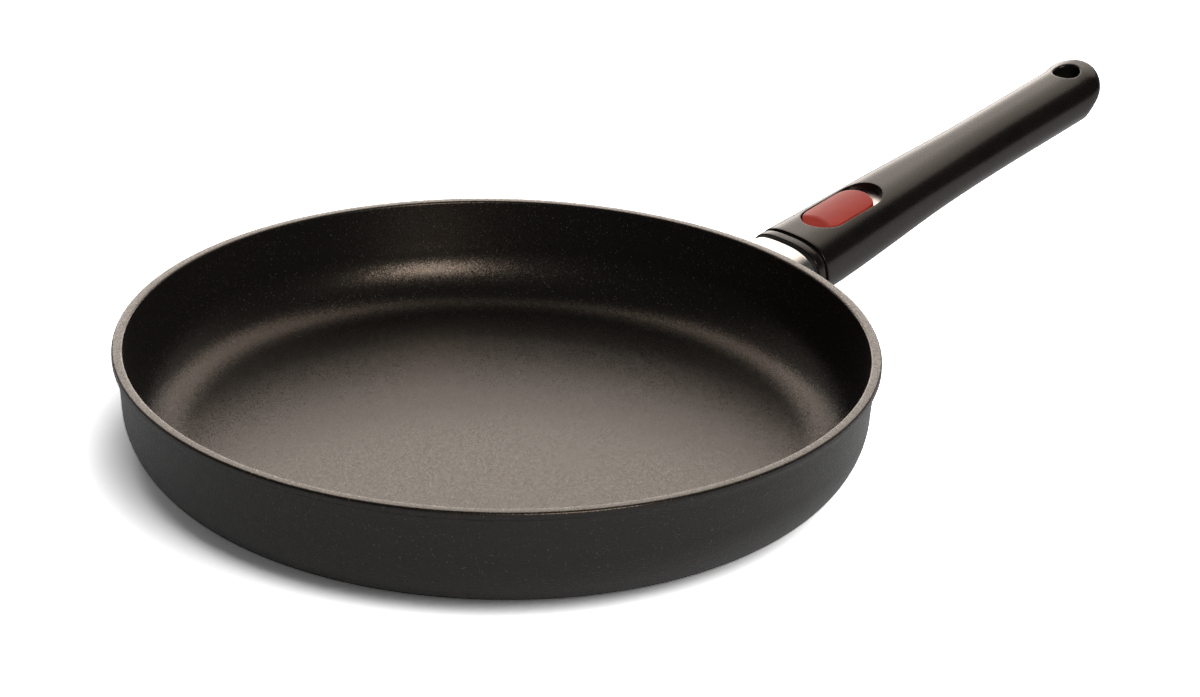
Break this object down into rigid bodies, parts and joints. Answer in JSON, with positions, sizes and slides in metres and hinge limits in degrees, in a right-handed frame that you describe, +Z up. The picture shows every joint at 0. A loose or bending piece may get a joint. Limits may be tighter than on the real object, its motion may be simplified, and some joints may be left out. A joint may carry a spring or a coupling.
{
  "type": "omelette pan",
  "caption": "Round non-stick pan with low upright walls and a long straight handle that comes off when its red slider is pulled back.",
  "frame": {"origin": "centre of the flat underside of the pan, on the surface it stands on", "axes": "+Z up, square to the base; +X from the pan's centre along the handle; the pan is the same on both sides of the XZ plane"},
  "size_m": [0.4809, 0.29, 0.083],
  "materials": {
    "coated_cast_aluminium": "satin non-stick coat inside, matte black coat outside",
    "bright_steel": "bright satin",
    "steel": "plain bright",
    "handle_phenolic": "satin moulded",
    "black_plastic": "matte moulded",
    "seal_silicone": "matte",
    "brass": "turned",
    "die_cast_zinc": "as cast",
    "spring_steel": "bright drawn",
    "red_plastic": "satin moulded"
  },
  "bodies": {
    "pan": {"pan_body": "coated_cast_aluminium", "ferrule": "bright_steel", "tongue": "steel", "tongue_screws": "steel", "lock_washers": "steel"},
    "handle": {"handle_shell": "handle_phenolic", "front_cap": "black_plastic", "collar_ring": "handle_phenolic", "cap_seal": "seal_silicone", "cap_screws": "steel", "threaded_inserts": "brass", "receiver": "die_cast_zinc", "latch_spring": "spring_steel", "latch_rivets": "steel", "spring_rod": "steel", "rod_clip": "spring_steel", "return_spring": "spring_steel"},
    "release": {"release_button": "red_plastic", "slide_plate": "bright_steel", "button_rivets": "steel"}
  },
  "joints": [
    {"name": "handle_pull", "type": "slide", "parent": "pan", "child": "handle", "axis": [0.981, 0, 0.1942], "range_m": [0, 0.06]},
    {"name": "release_slide", "type": "slide", "parent": "handle", "child": "release", "axis": [0.981, 0, 0.1942], "range_m": [0, 0.005], "stiffness_N_per_m": 600, "springref_m": -0.006, "deforming": ["return_spring", "latch_spring"]}
  ]
}
